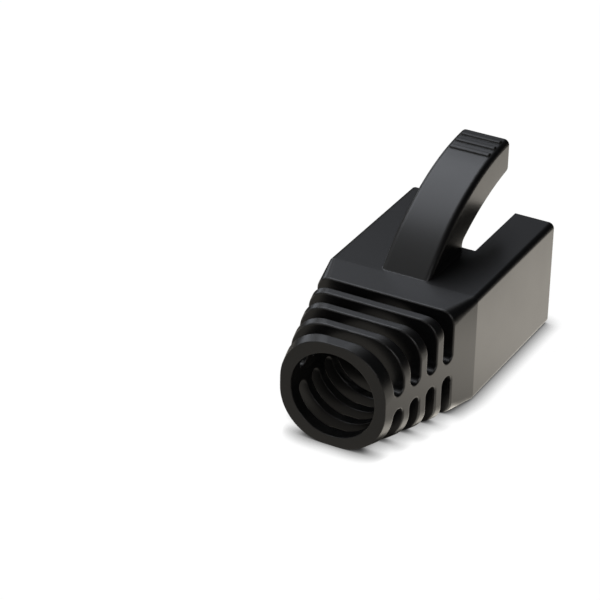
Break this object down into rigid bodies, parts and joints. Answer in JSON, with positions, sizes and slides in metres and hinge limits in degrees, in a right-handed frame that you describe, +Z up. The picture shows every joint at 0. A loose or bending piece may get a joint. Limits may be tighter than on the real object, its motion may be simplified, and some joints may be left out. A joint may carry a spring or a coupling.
{
  "type": "strain relief boot",
  "caption": "Boot for a modular network plug: open housing, curved latch guard arm with grip bars, and a slotted neck that narrows to a round cable opening.",
  "frame": {"origin": "bottom centre of the boot's box, on the flat underside", "axes": "+Z up through the latch guard arm, +Y along the boot from the plug mouth to the cable opening, +X across"},
  "size_m": [0.0136, 0.0266, 0.0165],
  "materials": {
    "boot": "black moulded plastic with a fine satin sheen"
  },
  "bodies": {
    "root": {"boot": "boot"}
  },
  "joints": []
}
